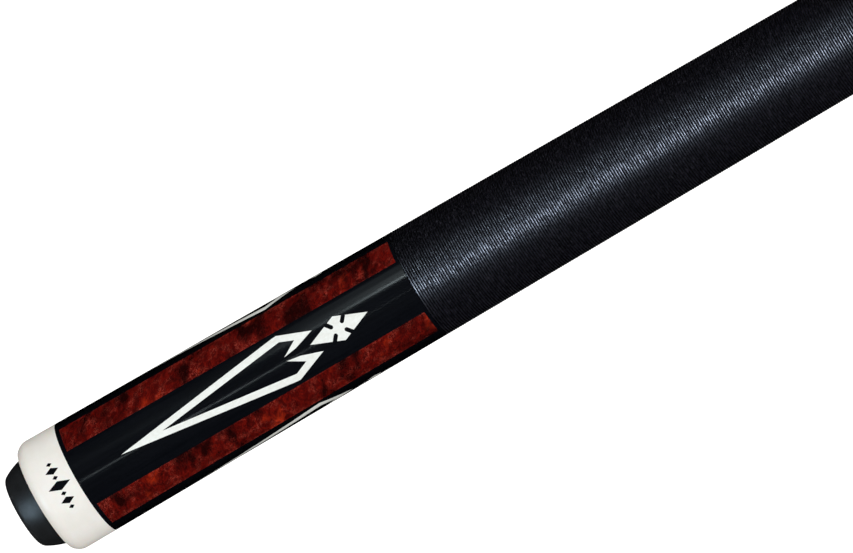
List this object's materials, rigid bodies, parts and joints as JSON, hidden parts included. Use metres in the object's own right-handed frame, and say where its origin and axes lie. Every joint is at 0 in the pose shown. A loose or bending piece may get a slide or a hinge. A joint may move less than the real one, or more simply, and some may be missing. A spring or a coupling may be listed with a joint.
{
  "type": "pool cue",
  "caption": "Two-piece pool cue with an inlaid butt sleeve, linen wrap, screw joint, tapered maple shaft, leather tip and rubber bumper.",
  "frame": {"origin": "centre of the rubber bumper's end face", "axes": "+Z along the cue from the bumper to the leather tip; +X through the first of the four inlaid black panels"},
  "size_m": [0.0312, 0.0312, 1.473],
  "materials": {
    "rubber": "satin moulded black rubber",
    "steel": "zinc plated",
    "pin_steel": "turned stainless steel",
    "brass": "turned",
    "cap_white": "satin ivory-white",
    "black_lacquer": "black stained maple under gloss lacquer",
    "burl": "red-brown burl under gloss lacquer",
    "inlay_white": "white inlay under gloss lacquer",
    "linen": "pressed blue-black linen thread, white flecked",
    "maple": "hard maple, sealed",
    "collar_black": "polished black",
    "ring_metal": "polished nickel silver",
    "ferrule_white": "satin white",
    "fibre": "vulcanised fibre",
    "tip_leather": "pressed leather with blue chalk"
  },
  "bodies": {
    "butt": {"bumper_insert": "brass", "weight_bolt": "steel", "butt_cap": "cap_white", "butt_sleeve": "black_lacquer", "handle_core": "maple", "linen_wrap": "linen", "a_joint_screw": "steel", "forearm": "black_lacquer", "sleeve_window_1": "burl", "sleeve_window_2": "burl", "sleeve_window_3": "burl", "sleeve_window_4": "burl", "sleeve_spear_1": "inlay_white", "sleeve_spear_2": "inlay_white", "sleeve_spear_3": "inlay_white", "sleeve_spear_4": "inlay_white", "sleeve_diamond_1": "inlay_white", "sleeve_diamond_2": "inlay_white", "sleeve_diamond_3": "inlay_white", "sleeve_diamond_4": "inlay_white", "forearm_window_1": "burl", "forearm_window_2": "burl", "forearm_window_3": "burl", "forearm_window_4": "burl", "forearm_spear_1": "inlay_white", "forearm_spear_2": "inlay_white", "forearm_spear_3": "inlay_white", "forearm_spear_4": "inlay_white", "forearm_diamond_1": "inlay_white", "forearm_diamond_2": "inlay_white", "forearm_diamond_3": "inlay_white", "forearm_diamond_4": "inlay_white", "butt_ring": "ring_metal", "butt_collar": "collar_black", "joint_pin": "pin_steel"},
    "bumper": {"bumper": "rubber", "bumper_washer": "steel"},
    "bumper_screw": {"bumper_screw": "steel"},
    "shaft_thread": {"shaft_insert": "brass"},
    "shaft": {"shaft_collar": "collar_black", "shaft_ring": "ring_metal", "shaft": "maple", "ferrule": "ferrule_white", "tip_pad": "fibre", "tip": "tip_leather"}
  },
  "joints": [
    {"name": "bumper_travel", "type": "slide", "parent": "butt", "child": "bumper", "axis": [0, 0, -1], "range_m": [0, 0.012]},
    {"name": "bumper_screw_turn", "type": "hinge", "parent": "bumper", "child": "bumper_screw", "pos_m": [0, 0, 0.002], "axis": [0, 0, -1], "range_deg": [0, 4320]},
    {"name": "shaft_travel", "type": "slide", "parent": "butt", "child": "shaft_thread", "axis": [0, 0, 1], "range_m": [0, 0.02822]},
    {"name": "shaft_turn", "type": "hinge", "parent": "shaft_thread", "child": "shaft", "pos_m": [0, 0, 0.737], "axis": [0, 0, 1], "range_deg": [0, 7200]}
  ],
  "couplings": [
    {"joint": "bumper_screw_turn", "follows": "bumper_travel", "rad_per_m": 6283.2},
    {"joint": "shaft_turn", "follows": "shaft_travel", "rad_per_m": 4452.7}
  ]
}
